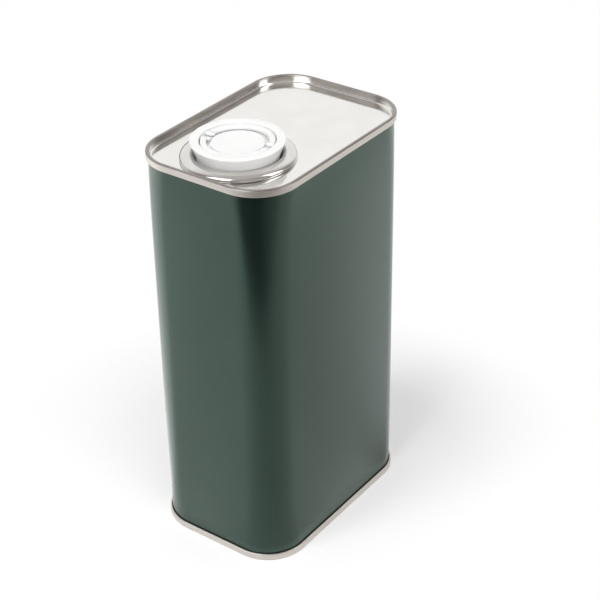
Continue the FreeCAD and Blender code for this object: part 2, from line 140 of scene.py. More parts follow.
# Carries an outline of (offset from the body face, height) once round the tin
def aroundTin(outline):
    reach = (tin["corner"] + outline[:, 0])[:, None, None]
    flat = planCentres[None] + reach * planNormals[None]
    height = np.broadcast_to(outline[:, 1][:, None, None], (*flat.shape[:2], 1))
    return np.concatenate([flat, height], axis=2)


# Rows of one outline point drawn in towards the closure's axis by shares, at its own height
def drawnIn(point, share):
    return point * [1, 0] * share + point * [0, 1]


# Carries an outline of (radius, height above the lid panel) round the closure's axis
def aroundAxis(outline, angles=None):
    if angles is None:
        angles = np.linspace(0, 2 * np.pi, closure["steps"], endpoint=False)
    x = closure["x"] + outline[:, 0][:, None] * np.cos(angles)[None]
    y = outline[:, 0][:, None] * np.sin(angles)[None]
    z = np.broadcast_to((closure["panel"] + outline[:, 1])[:, None], x.shape)
    return np.stack([x, y, z], axis=2)


# Turns points drawn round the cap's own axis by the cap's clock angle and sets them on the lid
def clocked(points):
    turn = np.radians(closure["clock"])
    x = closure["x"] + points[..., 0] * np.cos(turn) - points[..., 1] * np.sin(turn)
    y = points[..., 0] * np.sin(turn) + points[..., 1] * np.cos(turn)
    return np.stack([x, y, closure["panel"] + points[..., 2]], axis=-1)


# Faces of a grid of points whose columns join up, and whose rows join up or end in poles:
# each cell is a quad of four neighbours, and a pole is one point with a fan of triangles.
def gridFaces(grid, rowsJoin=True, poles=(False, False)):
    rows, cols = grid.shape[:2]
    index = np.arange(rows * cols).reshape(rows, cols)
    beside = np.roll(index, -1, axis=1)
    if rowsJoin:
        above, aboveBeside = np.roll(index, -1, axis=0), np.roll(beside, -1, axis=0)
        quads = np.stack([index, beside, aboveBeside, above], axis=2).reshape(-1, 4)
    else:
        quads = np.stack([index[:-1], beside[:-1], beside[1:], index[1:]], axis=2).reshape(-1, 4)
    points = grid.reshape(-1, 3)
    faces = quads.tolist()
    for pole, row, order in zip(poles, (0, rows - 1), (1, -1)):
        if pole:
            hub = np.full(cols, len(points))
            points = np.vstack([points, grid[row].mean(axis=0)[None]])
            faces += np.stack([hub, beside[row], index[row]][::order], axis=1).tolist()
    return points, faces


# Faces of a grid whose first and last rows close in poles
def cappedFaces(grid):
    return gridFaces(grid, rowsJoin=False, poles=(True, True))


# Volume inside a closed shell: each face makes tetrahedra with the origin, whose volumes add up
# to more than zero where the faces point outwards
def shellVolume(points, faces):
    first = points[np.array([face[:3] for face in faces])]
    second = points[np.array([[face[0], face[-2], face[-1]] for face in faces])]
    square = np.array([len(face) == 4 for face in faces])[:, None, None]
    triangles = np.vstack([first, np.where(square, second, 0)])
    crossed = np.cross(triangles[:, 1], triangles[:, 2])
    return np.einsum("ij,ij->i", triangles[:, 0], crossed).sum() / 6


# Several closed shells as one, each with its faces turned outwards
def together(shells):
    points, faces, start = [], [], 0
    for shellPoints, shellFaces in shells:
        order = 1 if shellVolume(shellPoints, shellFaces) > 0 else -1
        points.append(shellPoints)
        faces += [[corner + start for corner in face[::order]] for face in shellFaces]
        start += len(shellPoints)
    return np.vstack(points), faces


# Puts a shell's points, in millimetres, into a mesh
def makePiece(name, shell, material, fields=()):
    points, faces = together([shell])
    mesh = bpy.data.meshes.new(name)
    mesh.from_pydata((points * mm).tolist(), [], faces)
    mesh.validate()
    mesh.polygons.foreach_set("use_smooth", np.ones(len(mesh.polygons), bool))
    mesh.set_sharp_from_angle(angle=np.radians(creaseAngle))
    mesh.materials.append(material)
    for field, values in fields:
        mesh.attributes.new(field, "FLOAT", "POINT").data.foreach_set("value", values)
    piece = bpy.data.objects.new(name, mesh)
    bpy.context.scene.collection.objects.link(piece)
    print(f"{name}: {len(points)} points, {len(faces)} faces, {shellVolume(points, faces):.1f} mm3")
    return piece


# Gives a piece its body and hides the CAD node that it stands for
def setOn(piece, body, node):
    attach(piece, body)
    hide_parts(node)


# Finishes

def addNode(tree, kind, **sockets):
    made = tree.nodes.new(kind)
    for socket, value in sockets.items():
        made.inputs[socket].default_value = value
    return made


# A material with its nodes, its shader and the object's own coordinates in metres
def newFinish(name, **sockets):
    material = bpy.data.materials.new(name)
    material.use_nodes = True
    tree = material.node_tree
    shader = tree.nodes["Principled BSDF"]
    for socket, value in sockets.items():
        shader.inputs[socket].default_value = value
    place = tree.nodes.new("ShaderNodeTexCoord").outputs["Object"]
    return material, tree, shader, place


# A noise field, its coordinates stretched along the axes by a Mapping node
def noiseField(tree, place, scale, detail, stretch=(1, 1, 1)):
    mapping = addNode(tree, "ShaderNodeMapping", Scale=stretch)
    noise = addNode(tree, "ShaderNodeTexNoise", Scale=scale, Detail=detail)
    tree.links.new(place, mapping.inputs["Vector"])
    tree.links.new(mapping.outputs["Vector"], noise.inputs["Vector"])
    return noise.outputs["Fac"]


# Colour between two shades by a field, within a window of it
def shades(tree, field, low, high, window=(0.3, 0.7)):
    ramp = tree.nodes.new("ShaderNodeValToRGB")
    for element, position, colour in zip(ramp.color_ramp.elements, window, (low, high)):
        element.position = position
        element.color = (*colour, 1)
    tree.links.new(field, ramp.inputs["Fac"])
    return ramp.outputs["Color"]


# A field's window brought to the range from low to high
def span(tree, field, low, high, window=(0.3, 0.7)):
    made = addNode(tree, "ShaderNodeMapRange", **{
        "From Min": window[0], "From Max": window[1], "To Min": low, "To Max": high})
    tree.links.new(field, made.inputs["Value"])
    return made.outputs["Result"]


# The result of a Math node on fields or plain values
def mathOn(tree, operation, *terms):
    step = tree.nodes.new("ShaderNodeMath")
    step.operation = operation
    for socket, term in zip(step.inputs, terms):
        if isinstance(term, bpy.types.NodeSocket):
            tree.links.new(term, socket)
        else:
            socket.default_value = term
    return step.outputs["Value"]


# Bumps one on another, each a height field with its strength and its depth in metres
def addBump(tree, shader, *bumps):
    normal = None
    for field, (strength, distance) in bumps:
        bump = addNode(tree, "ShaderNodeBump", Strength=strength, Distance=distance)
        tree.links.new(field, bump.inputs["Height"])
        if normal:
            tree.links.new(normal, bump.inputs["Normal"])
        normal = bump.outputs["Normal"]
    tree.links.new(normal, shader.inputs["Normal"])


# One value or colour laid over another by a field
def laidOver(tree, kind, field, under, over):
    mix = tree.nodes.new("ShaderNodeMix")
    mix.data_type = kind
    named = {socket.name: socket for socket in mix.inputs if socket.enabled}
    tree.links.new(field, named["Factor"])
    tree.links.new(under, named["A"])
    tree.links.new(over, named["B"])
    return [socket for socket in mix.outputs if socket.enabled][0]


# Noise fields are given as scale, detail and stretch, bumps as strength and depth
greenLacquer = {
    "deep": (0.0036, 0.0084, 0.0072), "pale": (0.0056, 0.0114, 0.0096),
    "ior": 1.74, "reflectionTint": (0.64, 1.0, 0.81), "roughness": (0.17, 0.24),
    "cloud": (60, 4), "grain": (1400, 2), "peel": (420, 2),
    "grainBump": (0.05, 0.00006), "peelBump": (0.06, 0.0002),
    "weld": {
        "side": 0.048, "bare": (0.0021, 0.0023), "line": (0.00035, 0.00055),
        "dull": (0.34, 0.33, 0.31), "bright": (0.44, 0.43, 0.405), "dark": (0.16, 0.155, 0.145),
        "roughness": (0.30, 0.42), "drawn": (900, 2, (1, 1, 0.05)), "lineBump": (0.5, 0.0001),
    },
}


# A stripe down the middle of the tin's back side: one inside the first distance from the middle
# line and zero outside the second
def backStripe(tree, place, side, edges):
    axes = tree.nodes.new("ShaderNodeSeparateXYZ")
    tree.links.new(place, axes.inputs[0])
    middle = span(tree, mathOn(tree, "ABSOLUTE", axes.outputs["Y"]), 1, 0, edges)
    return mathOn(tree, "MULTIPLY", middle, mathOn(tree, "GREATER_THAN", axes.outputs["X"], side))


# Dark green lacquer baked on tinplate: cloudy shade, fine grain and a slight orange peel. Down the
# back it leaves a bare stripe with the welded joint in its middle.
def lacquerFinish(look):
    material, tree, shader, place = newFinish("greenLacquer", IOR=look["ior"])
    weld = look["weld"]
    cloud, grain, peel = (noiseField(tree, place, *look[name]) for name in ("cloud", "grain", "peel"))
    drawn = noiseField(tree, place, *weld["drawn"])
    bare = backStripe(tree, place, weld["side"], weld["bare"])
    line = backStripe(tree, place, weld["side"], weld["line"])
    metal = laidOver(tree, "RGBA", line, shades(tree, drawn, weld["dull"], weld["bright"]),
                     shades(tree, drawn, weld["dark"], weld["dull"]))
    paint = shades(tree, cloud, look["deep"], look["pale"])
    roughness = laidOver(tree, "FLOAT", bare, span(tree, grain, *look["roughness"]),
                         span(tree, drawn, *weld["roughness"]))
    tint = shades(tree, bare, look["reflectionTint"], white, (0, 1))
    tree.links.new(laidOver(tree, "RGBA", bare, paint, metal), shader.inputs["Base Color"])
    tree.links.new(roughness, shader.inputs["Roughness"])
    tree.links.new(bare, shader.inputs["Metallic"])
    tree.links.new(tint, shader.inputs["Specular Tint"])
    addBump(tree, shader, (peel, look["peelBump"]), (grain, look["grainBump"]), (line, weld["lineBump"]))
    return material


# Worn and painted-shade fields are given as a dull shade, a bright shade and a range of roughness
tinplateGrain = {"lines": (900, 2, (0.04, 1, 1)), "cloud": (90, 4), "scuff": (500, 3, (0.12, 0.12, 1))}
brightTinplate = {
    "dull": (0.83, 0.82, 0.785), "bright": (0.87, 0.86, 0.83), "roughness": (0.09, 0.14),
    "rolling": (0.04, 0.00006),
    # The rim's shades are partly wear and partly painted shade, the crease shades are painted shade
    "wornAndShaded": {"rim": ((0.33, 0.305, 0.29), (0.41, 0.38, 0.36), (0.32, 0.42)),
             "seam": ((0.57, 0.535, 0.495), (0.65, 0.61, 0.57), (0.40, 0.50)),
             "creaseShade": ((0.16, 0.145, 0.135), (0.22, 0.20, 0.185), (0.30, 0.40))},
}
polishedTinplate = {
    "dull": (0.71, 0.695, 0.675), "bright": (0.76, 0.75, 0.73), "roughness": (0.12, 0.17),
    "rolling": (0.0, 0.00006), "wornAndShaded": {},
}


# Electrolytic tinplate: rolling lines along the tin, cloudy shade and a soft metal gloss.
# The fields of the piece's own points mix in duller and rougher shades where the folds are worn,
# and painted shade on the rim and along the creases.
def tinplateFinish(name, look):
    material, tree, shader, place = newFinish(name, Metallic=1.0)
    lines = noiseField(tree, place, *tinplateGrain["lines"])
    cloud = noiseField(tree, place, *tinplateGrain["cloud"])
    colour = shades(tree, cloud, look["dull"], look["bright"])
    roughness = span(tree, lines, *look["roughness"])
    # Each field lays duller, rougher tinplate over the plain one, as wear and as painted shade
    for field, (dull, bright, wornAndShadedRoughness) in look["wornAndShaded"].items():
        scuff = noiseField(tree, place, *tinplateGrain["scuff"])
        wornAndShaded = tree.nodes.new("ShaderNodeAttribute")
        wornAndShaded.attribute_name = field
        there = wornAndShaded.outputs["Fac"]
        colour = laidOver(tree, "RGBA", there, colour, shades(tree, scuff, dull, bright))
        roughness = laidOver(tree, "FLOAT", there, roughness, span(tree, scuff, *wornAndShadedRoughness))
    tree.links.new(colour, shader.inputs["Base Color"])
    tree.links.new(roughness, shader.inputs["Roughness"])
    addBump(tree, shader, (lines, look["rolling"]))
    return material


mouldedSkin = {
    "ior": 1.5, "scatterRadius": (1, 0.95, 0.85), "scatterScale": 0.0008, "flow": (130, 4, (1, 1, 0.35)),
}
whitePlastic = {
    "shade": (0.85, 0.85, 0.84), "light": (0.88, 0.88, 0.875), "roughness": (0.30, 0.40),
    "scatter": 0.30, "grain": (1100, 2), "grainBump": (0.04, 0.00008),
}
spoutPlastic = {
    "shade": (0.76, 0.76, 0.73), "light": (0.81, 0.81, 0.785), "roughness": (0.26, 0.38),
    "scatter": 0.15, "grain": (1100, 2), "grainBump": (0.04, 0.00008),
}
linerFoam = {
    "shade": (0.70, 0.71, 0.71), "light": (0.79, 0.80, 0.80), "roughness": (0.55, 0.75),
    "scatter": 0.05, "grain": (2600, 2), "grainBump": (0.25, 0.00008),
}
sealingCompound = {
    "shade": (0.30, 0.29, 0.27), "light": (0.40, 0.39, 0.36), "roughness": (0.6, 0.8),
    "scatter": 0.0, "grain": (2000, 2), "grainBump": (0.2, 0.00008),
}


# Moulded polyethylene: faint flow marks, a satin skin and some light scattered under it
def plasticFinish(name, look):
    material, tree, shader, place = newFinish(name, IOR=mouldedSkin["ior"])
    shader.inputs["Subsurface Weight"].default_value = look["scatter"]
    shader.inputs["Subsurface Radius"].default_value = mouldedSkin["scatterRadius"]
    shader.inputs["Subsurface Scale"].default_value = mouldedSkin["scatterScale"]
    flow = noiseField(tree, place, *mouldedSkin["flow"])
    grain = noiseField(tree, place, *look["grain"])
    tree.links.new(shades(tree, flow, look["shade"], look["light"]), shader.inputs["Base Color"])
    tree.links.new(span(tree, grain, *look["roughness"]), shader.inputs["Roughness"])
    addBump(tree, shader, (grain, look["grainBump"]))
    return material


lacquer = lacquerFinish(greenLacquer)
tinplate = tinplateFinish("brightTinplate", brightTinplate)
polished = tinplateFinish("polishedTinplate", polishedTinplate)
capWhite = plasticFinish("whitePlastic", whitePlastic)
spoutWhite = plasticFinish("spoutPlastic", spoutPlastic)
foam = plasticFinish("linerFoam", linerFoam)
compound = plasticFinish("sealingCompound", sealingCompound)
print("finishes made:", len(bpy.data.materials))

# Body wall

bodyShell = {
    "fold": 0.735, "hookOffset": 0.495, "hookEnd": 2.7, "hookBend": 0.279,
    "bowLong": 0.8, "bowShort": 0.25, "turnLong": 4.5, "turnShort": 2.5, "bowCorner": 15.5,
    "bowMargin": 5.0, "bowPower": 8, "bowRows": 41,
}


# The tin's plan with sides that bow out, as circle centres, radii and normals in the order of
# tinPlan: each side is an arc of a wide circle that turns a few degrees, and the corner's arc turns
# the rest. The two wide radii solve the pair of equations that put both sides' arcs on one corner
# circle.
def bowedPlan(size):
    turnLong, turnShort = np.radians([size["turnLong"], size["turnShort"]])
    bend = size["bowCorner"]
    spareX = tin["length"] / 2 + size["bowShort"] - bend
    spareY = tin["width"] / 2 + size["bowLong"] - bend
    spareLong, spareShort = np.linalg.solve(
        [[np.sin(turnLong), 1 - np.cos(turnShort)], [1 - np.cos(turnLong), np.sin(turnShort)]],
        [spareX, spareY])
    corner = np.array([spareLong * np.sin(turnLong), spareShort * np.sin(turnShort)])
    longSide = (np.array([0, spareY - spareLong]), spareLong + bend, turnLong, tin["longSteps"])
    shortSide = (np.array([spareX - spareShort, 0]), spareShort + bend, turnShort, tin["shortSteps"])
    centres, radii, angles = [], [], []
    for quarter, (signs, side, before) in enumerate((
            ((1, 1), longSide, turnShort), ((-1, 1), shortSide, turnLong),
            ((-1, -1), longSide, turnShort), ((1, -1), shortSide, turnLong))):
        middle, radius, turn, steps = side
        start, end = quarter * np.pi / 2, (quarter + 1) * np.pi / 2
        around = np.linspace(start + before, end - turn, tin["cornerSteps"] + 1)
        along = end + turn * np.linspace(-1, 1, steps + 1)[1:-1]
        centres += [np.repeat((corner * signs)[None], len(around), 0),
                    np.repeat((middle * signs[0])[None], len(along), 0)]
        radii += [np.full(len(around), bend), np.full(len(along), radius)]
        angles += [around, along]
    angles = np.concatenate(angles)
    normals = np.stack([np.cos(angles), np.sin(angles)], axis=1)
    return np.vstack(centres), np.concatenate(radii), normals


# Painted sleeve: a sheet folded out into the seam at both ends and carried round the tin.
# Between the seams its plan goes over from the straight one to the bowed one with height.
def makeBodyWall(size):
    high = tin["height"] - size["fold"]
    corners = [(size["hookOffset"], tin["height"] - size["hookEnd"]), (size["hookOffset"], high),
               (-tin["sheet"] / 2, high), (-tin["sheet"] / 2, size["fold"]),
               (size["hookOffset"], size["fold"]), (size["hookOffset"], size["hookEnd"])]
    points, headings = bentLine(corners, [size["hookBend"]] * 4)
    middle = len(points) // 2
    rise = np.linspace(points[middle - 1, 1], points[middle, 1], size["bowRows"])[1:-1]
    wall = np.stack([np.full(len(rise), points[middle, 0]), rise], axis=1)
    straight = np.repeat(headings[middle][None], len(rise), 0)
    points = np.vstack([points[:middle], wall, points[middle:]])
    headings = np.vstack([headings[:middle], straight, headings[middle:]])
    left, right = sheetFaces(points, headings, tin["sheet"])
    outline = np.vstack([left, right[::-1]])
    grid = aroundTin(outline)
    centres, radii, normals = bowedPlan(size)
    bowed = centres[None] + (radii[None] + outline[:, :1])[..., None] * normals[None]
    half = tin["height"] / 2
    level = (outline[:, 1] - half) / (half - size["bowMargin"])
    share = np.clip(1 - level ** size["bowPower"], 0, None)
    grid[..., :2] += share[:, None, None] * (bowed - grid[..., :2])
    return makePiece("bodyWall", gridFaces(grid), lacquer)


setOn(makeBodyWall(bodyShell), "tin", "body_wall")

# Folds, wear and painted shade that both ends share

seamFold = {
    "chuckInset": 0.435, "chuckBend": 1.1, "land": 1.2, "seamBend": 0.4836, "hookBend": 0.279,
    "seamWall": 0.805, "hookOffset": 0.185, "hookEnd": 1.11,
}
# A painted crease shade is given as its middle and half width, by height outside the rim and by
# offset inside it
endWearAndShade = {
    "outside": 0.25, "straightFade": 1.2, "cornerFade": 2.0, "cornerGain": 3.0, "seamFrom": (0.25, 0.6),
    "creaseShadeOut": (0.3, 0.3), "narrowShare": 0.2,
    "creaseShadeIn": (-1.3, 0.75), "creaseShadeBelow": 2.0, "inShare": 0.7,
}


# Wear and painted shade of a folded end by place. The rim is dulled in full, partly as wear and
# partly as painted shade, and the dulling fades down the wall inside the seam, sooner round the
# corners. The wall outside has the seam's shade. On the top end a painted dark shade runs round
# the bend outside the rim, weaker on the narrow sides, and another along the bend at the panel's
# edge on the wide sides.
def wornAndShadedFields(grid, look, *extra):
    away = np.clip(abs(grid[..., :2]) - straightHalf, 0, None)
    reach = np.linalg.norm(away, axis=2)
    offset = reach - tin["corner"]
    wide = np.clip(away[..., 1] / tin["corner"], 0, 1)
    twist = 2 * away[..., 0] * away[..., 1] / np.maximum(reach, 1) ** 2  # sine of twice the angle
    corner = np.clip(look["cornerGain"] * twist, 0, 1)
    below = np.minimum(grid[..., 2], tin["height"] - grid[..., 2])
    inner = offset < look["outside"]
    # The rim's dulling is partly wear and partly painted shade; round the corners it fades sooner
    straightRim = np.clip((tin["seamHeight"] - below) / look["straightFade"], 0, 1)
    cornerRim = np.clip(1 - below / look["cornerFade"], 0, 1)
    rim = np.where(inner, straightRim * (1 - corner) + cornerRim * corner, 1)
    seam = np.where(inner, 0, np.interp(below, look["seamFrom"], (0, 1)))
    # Painted shade: a dark line round the bend outside the rim
    middle, half = look["creaseShadeOut"]
    share = look["narrowShare"] + (1 - look["narrowShare"]) * wide
    creaseShadeOut = share * np.clip(1 - abs(below - middle) / half, 0, 1)
    # Painted shade: a dark line along the bend at the panel's edge, on the wide sides
    middle, half = look["creaseShadeIn"]
    creaseShadeIn = look["inShare"] * wide * (1 - corner) * np.clip(1 - abs(offset - middle) / half, 0, 1)
    creaseShade = np.where(inner, np.where(below > look["creaseShadeBelow"], creaseShadeIn, 0), creaseShadeOut)
    creaseShade = np.where(grid[..., 2] > tin["height"] / 2, creaseShade, 0)
    fields = (("rim", rim), ("seam", seam), ("creaseShade", creaseShade))
    return [(name, np.concatenate([field.reshape(-1), extra])) for name, field in fields]


# Lid

lidShell = {
    **seamFold, "curl": 0.625, "curlSteps": 40, "neckBend": 0.6, "neckLand": 0.8, "panelRows": 16,
}


# Top end: the seam's folded strip carried round the tin, a flat panel drawn in from the strip's
# edge to the neck by a share of the way, and the neck's wall curled out round the bead circle.
def makeLid(size):
    panel = closure["panel"] - tin["sheet"] / 2
    top = tin["height"] - tin["sheet"] / 2
    foot = tin["height"] - tin["seamHeight"] + tin["sheet"] / 2
    seam = bentLine([(-size["chuckInset"] - size["chuckBend"] - size["land"], panel),
                     (-size["chuckInset"], panel), (-size["chuckInset"], top), (size["seamWall"], top),
                     (size["seamWall"], foot), (size["hookOffset"], foot),
                     (size["hookOffset"], tin["height"] - size["hookEnd"])],
                    [size["chuckBend"], size["seamBend"], size["seamBend"],
                     size["hookBend"], size["hookBend"]])
    turn = np.linspace(-np.pi / 2, np.pi, size["curlSteps"])[:-1]
    around = np.stack([np.cos(turn), np.sin(turn)], axis=1)
    wall = closure["bead"] - size["curl"]
    neckEnd = wall + size["neckBend"] + size["neckLand"]
    neck = bentLine([(wall, closure["beadHeight"]), (wall, -tin["sheet"] / 2),
                     (neckEnd, -tin["sheet"] / 2)], [size["neckBend"]])
    bead = np.array([closure["bead"], closure["beadHeight"]])
    neckPoints = np.vstack([bead + size["curl"] * around, neck[0]])
    neckHeadings = np.vstack([leftOf(around), neck[1]])
    edge = aroundTin(seam[0][:1])[0]
    angles = np.arctan2(edge[:, 1], edge[:, 0] - closure["x"])
    faces = []
    for rimFace, neckFace in zip(sheetFaces(*seam, tin["sheet"]),
                                 sheetFaces(neckPoints, neckHeadings, tin["sheet"])):
        neckGrid, rimGrid = aroundAxis(neckFace, angles), aroundTin(rimFace)
        share = np.linspace(0, 1, size["panelRows"] + 2)[1:-1, None, None]
        across = neckGrid[-1] * (1 - share) + rimGrid[0] * share
        faces.append(np.concatenate([neckGrid, across, rimGrid]))
    grid = np.concatenate([faces[0], faces[1][::-1]])
    return makePiece("lid", gridFaces(grid), tinplate, fields=wornAndShadedFields(grid, endWearAndShade))


setOn(makeLid(lidShell), "tin", "lid")

# Base

baseShell = {
    **seamFold, "depth": 4.6, "beadInset": 5.0, "beadRise": 1.0, "beadBend": 0.35, "panelRows": 10,
}


# Bottom end: the same folded strip upside down, with a raised bead round a flat panel whose
# rows shrink towards the middle of the tin, where they meet in one point on each face.
def makeBase(size):
    panel, foot = size["depth"] + tin["sheet"] / 2, tin["sheet"] / 2
    bead = -size["chuckInset"] - size["chuckBend"] - size["beadInset"]
    high = tin["seamHeight"] - tin["sheet"] / 2
    strip = bentLine([(bead - size["beadBend"] - size["land"], panel + size["beadRise"]),
                      (bead, panel + size["beadRise"]), (bead, panel), (-size["chuckInset"], panel),
                      (-size["chuckInset"], foot), (size["seamWall"], foot), (size["seamWall"], high),
                      (size["hookOffset"], high), (size["hookOffset"], size["hookEnd"])],
                     [size["beadBend"], size["beadBend"], size["chuckBend"], size["seamBend"],
                      size["seamBend"], size["hookBend"], size["hookBend"]])
    rows = []
    for face in sheetFaces(*strip, tin["sheet"]):
        rim = aroundTin(face)
        share = np.linspace(0, 1, size["panelRows"] + 2)[1:-1, None, None]
        rows.append(np.concatenate([rim[:1] * [1, 1, 0] * share + rim[:1] * [0, 0, 1], rim]))
    grid = np.concatenate([rows[0], rows[1][::-1]])
    return makePiece("base", cappedFaces(grid), tinplate, fields=wornAndShadedFields(grid, endWearAndShade, 0, 0))


setOn(makeBase(baseShell), "tin", "base")
for node in ("lid_seam_compound", "base_seam_compound"):
    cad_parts[node].data.materials.clear()
    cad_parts[node].data.materials.append(compound)
print("tin made")

# Crimp ring

ringShell = {
    "start": 17.15, "reach": 23.15, "innerBend": 2.3, "shoulderBend": 1.8, "slope": 0.55,
    "shoulderFoot": 0.52, "bendSteps": 14, "domeSteps": 16,
    "sheet": 0.3, "leg": 0.2, "floorGap": 0.1, "hemBend": 0.4, "hem": 1.4, "hemSteps": 8,
}


# The way over the ring's top at a depth under its surface, as three arcs that meet smoothly:
# the inner bend, a shallow dome and the shoulder, whose join leans outward by the slope's share.
def overRing(size, inset):
    crown, edge = size["start"] + size["innerBend"], size["reach"] - size["shoulderBend"]
    rise = np.sqrt(1 - size["slope"] ** 2)
    dome = (size["reach"] - crown - size["shoulderBend"] * (1 - size["slope"])) / size["slope"]
    height = size["shoulderFoot"] + size["shoulderBend"] * rise + dome * (1 - rise)
    lean = np.degrees(np.arccos(size["slope"]))
    inner = arcRun((crown, height - size["innerBend"]), size["innerBend"] - inset,
                   180, 90, size["bendSteps"])
    middle = arcRun((crown, height - dome), dome - inset, 90, lean, size["domeSteps"])
    shoulder = arcRun((edge, size["shoulderFoot"]), size["shoulderBend"] - inset,
                      lean, 0, size["bendSteps"])
    points = np.vstack([inner[0], middle[0][1:], shoulder[0][1:]])
    headings = np.vstack([inner[1], middle[1][1:], shoulder[1][1:]])
    return points, headings


# Clinched ring: a sheet domed over the neck's curl, with a short leg inside and a hem under its
# skirt
def makeCrimpRing(size):
    half = size["sheet"] / 2
    over, overHeadings = overRing(size, half)
    hem, hemHeadings = arcRun((size["reach"] - size["hemBend"], size["floorGap"] + size["hemBend"]),
                              size["hemBend"] - half, 0, -90, size["hemSteps"])
    hemEnd = (size["reach"] - size["hem"], size["floorGap"] + half)
    points = np.vstack([over[:1] - [0, size["leg"]], over, hem, [hemEnd]])
    headings = np.vstack([[(0, 1)], overHeadings, hemHeadings, [(-1, 0)]])
    left, right = sheetFaces(points, headings, size["sheet"])
    return makePiece("crimpRing", gridFaces(aroundAxis(np.vstack([left, right[::-1]]))), polished)


setOn(makeCrimpRing(ringShell), "tin", "crimp_ring")

# Spout flange and bellows

flangeShell = {"inset": 0.38, "bend": 0.87, "bendSteps": 16, "sleeve": -2.0, "skirt": 0.45}


# Plastic rim that fills the ring round the neck's curl, with a sleeve down through the neck
def makeFlange(size):
    over = overRing(ringShell, size["inset"])[0]
    bead = (closure["bead"], closure["beadHeight"])
    curl = arcRun(bead, size["bend"], 0, 180, size["bendSteps"])[0]
    loop = np.vstack([[(over[0, 0], size["sleeve"])], over, [(over[-1, 0], size["skirt"])],
                      [(curl[0, 0], size["skirt"])], curl, [(curl[-1, 0], size["sleeve"])]])
    return makePiece("spoutFlange", gridFaces(aroundAxis(loop)), spoutWhite)


setOn(makeFlange(flangeShell), "tin", "spout_flange")

bellowsShell = {"top": (17.1, -2.0), "foot": (14.9, -12.5), "wall": 0.5, "rows": 44}


# Flexible cone: a straight wall from the flange's sleeve down to the spout's foot, in even rows
def makeBellows(size):
    share = np.linspace(0, 1, size["rows"])[:, None]
    inner = np.array(size["top"]) * (1 - share) + np.array(size["foot"]) * share
    outer = inner + [size["wall"], 0]
    return makePiece("spoutBellows", gridFaces(aroundAxis(np.vstack([inner, outer[::-1]]))), spoutWhite)


bellows = makeBellows(bellowsShell)
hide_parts("spout_bellows")
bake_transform(bellows)

# Spout and its thread

thread = {
    "lead": 6.0, "starts": 2, "depth": 0.8, "root": 1.1, "crest": 0.7, "round": 0.2,
    "sink": 0.3, "fade": 0.2, "steps": 96,
}
spoutShell = {
    "bore": 12.9, "outer": 14.2, "foot": 14.85, "footHeight": 1.2, "low": -12.5, "mouth": 3.0,
    "round": 0.4, "footRound": 0.2, "stepRound": 0.3, "threadFoot": -2.1, "turns": 0.6,
}


# Screw ridges: a trapezium carried up a helix, its crest sinking into the wall over the fade at
# each end
def threadRidges(wall, side, foot, turns):
    halfRoot, halfCrest = thread["root"] / 2, thread["crest"] / 2
    section = roundedLoop([(-thread["sink"], -halfRoot), (thread["depth"], -halfCrest),
                           (thread["depth"], halfCrest), (-thread["sink"], halfRoot)],
                          [0, thread["round"], thread["round"], 0])
    share = np.linspace(0, 1, thread["steps"])
    ease = eased(np.clip(np.minimum(share, 1 - share) / thread["fade"], 0, 1))
    proud, sunk = np.maximum(section[:, 0], 0), np.minimum(section[:, 0], 0)
    radius = wall + side * (proud[None] * ease[:, None] + sunk[None])
    height = foot + thread["lead"] * turns * share[:, None] + section[:, 1][None]
    shells = []
    for start in range(thread["starts"]):
        angle = 2 * np.pi * (turns * share + start / thread["starts"])[:, None]
        grid = np.stack([radius * np.cos(angle), radius * np.sin(angle), height], axis=2)
        shells.append(cappedFaces(clocked(grid)))
    return shells


# Pouring spout: a straight nozzle with a stepped foot and a rounded mouth, and its thread
def makeSpout(size):
    loop = roundedLoop([(size["bore"], size["low"]), (size["foot"], size["low"]),
                        (size["foot"], size["low"] + size["footHeight"]),
                        (size["outer"], size["low"] + size["footHeight"] + size["foot"] - size["outer"]),
                        (size["outer"], size["mouth"]), (size["bore"], size["mouth"])],
                       [size["footRound"]] * 3 + [size["stepRound"], size["round"], size["round"]])
    nozzle = gridFaces(aroundAxis(loop))
    ridges = threadRidges(size["outer"], 1, size["threadFoot"], size["turns"])
    return makePiece("pourSpout", together([nozzle, *ridges]), spoutWhite)


setOn(makeSpout(spoutShell), "spout", "pour_spout")

# Cap and liner

capShell = {
    "inner": 15.25, "outer": 16.35, "foot": -2.6, "footRounds": (0.2, 0.25),
    "waist": 1.4, "waistRound": 2.2,
    "lip": 18.8, "lipEdge": 0.15, "top": 7.8, "lipRound": 0.3, "lipUnder": 0.3, "brimRound": 0.35,
    "grooveFloor": 5.25, "grooveInner": 11.8, "grooveOuter": 15.2, "grooveRound": 0.25,
    "disc": 7.4, "discRound": 0.45, "hollow": 10.6, "hollowTop": 6.2, "hollowRound": 0.2,
    "underside": 4.05, "discRows": 12, "threadFoot": -0.6, "turns": 0.35,
}


